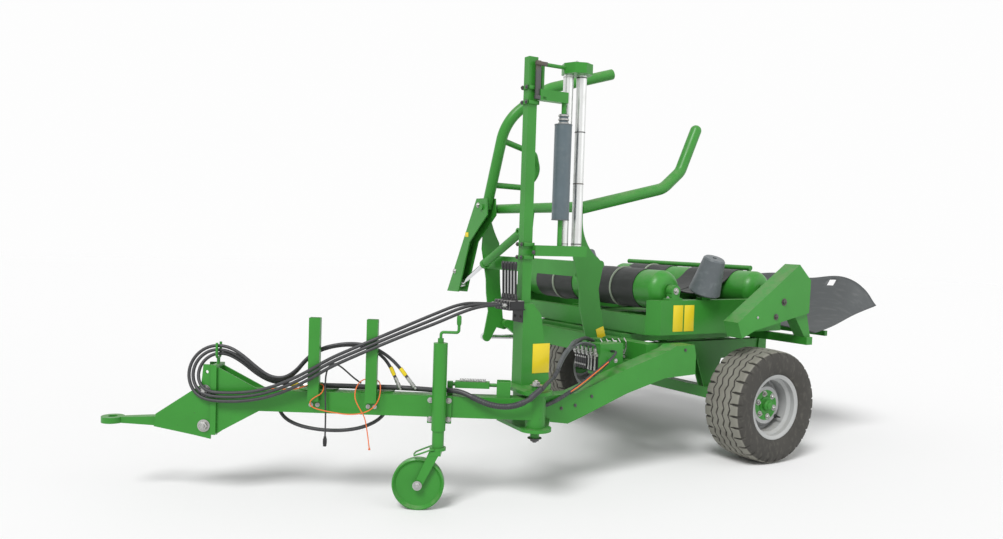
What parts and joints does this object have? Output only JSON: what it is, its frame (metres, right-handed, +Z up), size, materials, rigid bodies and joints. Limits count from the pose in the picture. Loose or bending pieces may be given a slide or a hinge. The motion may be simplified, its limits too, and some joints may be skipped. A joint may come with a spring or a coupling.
{
  "type": "trailed round bale wrapper",
  "caption": "Trailed round-bale wrapper: turntable with rollers and belts, film mast, self-loading side arm with clamp, swinging drawbar with jack.",
  "frame": {"origin": "middle of the footprint's box at ground level, cords left out", "axes": "+X forward along the chassis towards the tow end, +Y to the left, +Z up"},
  "size_m": [5.2832, 2.6947, 2.784],
  "materials": {
    "green_steel": "semi-gloss",
    "silver_paint": "satin",
    "galvanised_steel": "satin",
    "aluminium_roller": "satin",
    "chromed_rod": "polished",
    "tyre_rubber": "matte",
    "mat_rubber": "matte",
    "belt_rubber": "matte",
    "dark_plastic": "matte",
    "valve_iron": "satin",
    "hose_rubber": "matte"
  },
  "bodies": {
    "chassis": {"axle": "green_steel", "side_beams": "green_steel", "cross_beams": "green_steel", "loader_brackets": "green_steel", "brace": "green_steel", "pivot_head": "green_steel", "mast": "green_steel", "film_arm": "green_steel", "gear_cover": "green_steel", "lever_bank": "valve_iron", "valve_block": "green_steel", "feed_bundle": "hose_rubber", "brace_hose": "hose_rubber"},
    "wheel_left": {"tyre_left": "tyre_rubber", "wheel_left": "silver_paint"},
    "wheel_right": {"tyre_right": "tyre_rubber", "wheel_right": "silver_paint"},
    "drawbar": {"drawbar_beam": "green_steel", "hitch_head": "green_steel", "tow_eye": "green_steel", "stake_posts": "green_steel", "turnbuckle": "galvanised_steel", "jack_housing": "green_steel", "hose_middle": "hose_rubber", "hose_outer": "hose_rubber", "hose_inner": "hose_rubber", "plug_cable": "hose_rubber", "under_hose": "hose_rubber", "orange_cord": "hose_rubber", "beam_bundle": "hose_rubber", "hose_couplers": "hose_rubber"},
    "jack_leg": {"jack_leg": "green_steel"},
    "jack_fork": {"jack_fork": "green_steel"},
    "jack_wheel": {"jack_wheel": "green_steel"},
    "tilt_frame": {"tilt_beams": "green_steel", "tilt_cross_beams": "green_steel", "mat_carrier": "green_steel", "ramp_arms": "green_steel", "ramp_mat": "mat_rubber"},
    "turntable": {"table_sides": "green_steel", "table_ends": "green_steel", "table_spine": "green_steel", "belts": "belt_rubber"},
    "roller_front": {"roller_front": "green_steel"},
    "roller_rear": {"roller_rear": "green_steel"},
    "cone_left": {"cone_left": "dark_plastic"},
    "cone_right": {"cone_right": "dark_plastic"},
    "loader": {"loader_plate_left": "green_steel", "loader_plate_right": "green_steel", "loader_cross_bars": "green_steel"},
    "clamp_arm": {"clamp_arm": "green_steel"},
    "lift_barrel": {"lift_barrel": "green_steel"},
    "lift_rod": {"lift_rod": "chromed_rod"},
    "clamp_barrel": {"clamp_barrel": "green_steel"},
    "clamp_rod": {"clamp_rod": "chromed_rod"},
    "tilt_barrel": {"tilt_barrel": "green_steel"},
    "tilt_rod": {"tilt_rod": "chromed_rod"},
    "film_core": {"film_core": "dark_plastic"},
    "stretch_roller_front": {"stretch_roller_front": "aluminium_roller"},
    "stretch_roller_rear": {"stretch_roller_rear": "aluminium_roller"}
  },
  "joints": [
    {"name": "wheel_left_spin", "type": "hinge", "parent": "chassis", "child": "wheel_left", "pos_m": [-1.38158, 1.05, 0.386], "axis": [0, 1, 0], "continuous": true},
    {"name": "wheel_right_spin", "type": "hinge", "parent": "chassis", "child": "wheel_right", "pos_m": [-1.38158, -0.95, 0.386], "axis": [0, 1, 0], "continuous": true},
    {"name": "drawbar_swing", "type": "hinge", "parent": "chassis", "child": "drawbar", "pos_m": [0.61842, 1.245, 0.535], "axis": [0, 0, 1], "range_deg": [0, 32]},
    {"name": "jack_extension", "type": "slide", "parent": "drawbar", "child": "jack_leg", "axis": [0, 0, 1], "range_m": [-0.2, 0.08]},
    {"name": "jack_caster", "type": "hinge", "parent": "jack_leg", "child": "jack_fork", "pos_m": [1.11172, 1.05252, 0.33], "axis": [0, 0, 1], "continuous": true},
    {"name": "jack_wheel_spin", "type": "hinge", "parent": "jack_fork", "child": "jack_wheel", "pos_m": [1.19634, 0.99924, 0.14], "axis": [0.5329, 0.8462, 0], "continuous": true},
    {"name": "table_tilt", "type": "hinge", "parent": "chassis", "child": "tilt_frame", "pos_m": [-1.92158, -0.11, 0.8125], "axis": [0, -1, 0], "range_deg": [0, 35]},
    {"name": "table_turn", "type": "hinge", "parent": "tilt_frame", "child": "turntable", "pos_m": [-1.27658, -0.11, 0.85], "axis": [0, 0, 1], "continuous": true},
    {"name": "front_roller_spin", "type": "hinge", "parent": "turntable", "child": "roller_front", "pos_m": [-0.81658, -0.11, 1.148], "axis": [0, 1, 0], "continuous": true},
    {"name": "rear_roller_spin", "type": "hinge", "parent": "turntable", "child": "roller_rear", "pos_m": [-1.73658, -0.11, 1.148], "axis": [0, 1, 0], "continuous": true},
    {"name": "cone_left_spin", "type": "hinge", "parent": "turntable", "child": "cone_left", "pos_m": [-1.10158, 0.76, 1.135], "axis": [0, 0.342, 0.9397], "continuous": true},
    {"name": "cone_right_spin", "type": "hinge", "parent": "turntable", "child": "cone_right", "pos_m": [-1.45158, -0.98, 1.135], "axis": [0, -0.342, 0.9397], "continuous": true},
    {"name": "loader_lift", "type": "hinge", "parent": "chassis", "child": "loader", "pos_m": [-0.30158, 0.004, 0.805], "axis": [0, 1, 0], "range_deg": [0, 115]},
    {"name": "lift_cylinder_swing", "type": "hinge", "parent": "chassis", "child": "lift_barrel", "pos_m": [-1.08158, -0.63, 0.66], "axis": [0, 1, 0], "range_deg": [-2.49, 0]},
    {"name": "lift_cylinder_stroke", "type": "slide", "parent": "lift_barrel", "child": "lift_rod", "axis": [0.9991, 0, 0.0419], "range_m": [-0.31006, 0]},
    {"name": "clamp_swing", "type": "hinge", "parent": "loader", "child": "clamp_arm", "pos_m": [-0.03158, -0.45, 1.7], "axis": [1, 0, 0], "range_deg": [0, 20]},
    {"name": "clamp_cylinder_swing", "type": "hinge", "parent": "loader", "child": "clamp_barrel", "pos_m": [-0.03158, 0.04, 1.52], "axis": [1, 0, 0], "range_deg": [0, 12.76]},
    {"name": "clamp_cylinder_stroke", "type": "slide", "parent": "clamp_barrel", "child": "clamp_rod", "axis": [0, -0.8966, -0.4429], "range_m": [-0.14504, 0]},
    {"name": "tilt_cylinder_swing", "type": "hinge", "parent": "chassis", "child": "tilt_barrel", "pos_m": [-1.53158, 0.2, 0.56], "axis": [0, -1, 0], "range_deg": [0, 39.84]},
    {"name": "tilt_cylinder_stroke", "type": "slide", "parent": "tilt_barrel", "child": "tilt_rod", "axis": [0.8899, 0, 0.4561], "range_m": [0, 0.27591]},
    {"name": "film_roll_spin", "type": "hinge", "parent": "chassis", "child": "film_core", "pos_m": [0.36842, 1.065, 1.8], "axis": [0, 0, 1], "continuous": true},
    {"name": "stretch_front_spin", "type": "hinge", "parent": "chassis", "child": "stretch_roller_front", "pos_m": [0.30042, 1.005, 1.9], "axis": [0, 0, 1], "continuous": true},
    {"name": "stretch_rear_spin", "type": "hinge", "parent": "chassis", "child": "stretch_roller_rear", "pos_m": [0.23042, 1.04, 1.9], "axis": [0, 0, 1], "continuous": true}
  ],
  "couplings": [
    {"joint": "rear_roller_spin", "follows": "front_roller_spin", "ratio": 1},
    {"joint": "lift_cylinder_swing", "follows": "loader_lift", "ratio": -0.021576},
    {"joint": "lift_cylinder_stroke", "follows": "loader_lift", "m_per_rad": -0.15417},
    {"joint": "clamp_cylinder_swing", "follows": "clamp_swing", "ratio": 0.6368},
    {"joint": "clamp_cylinder_stroke", "follows": "clamp_swing", "m_per_rad": -0.41469},
    {"joint": "tilt_cylinder_swing", "follows": "table_tilt", "ratio": 1.1361},
    {"joint": "tilt_cylinder_stroke", "follows": "table_tilt", "m_per_rad": 0.45077},
    {"joint": "stretch_rear_spin", "follows": "stretch_front_spin", "ratio": -1.55}
  ]
}
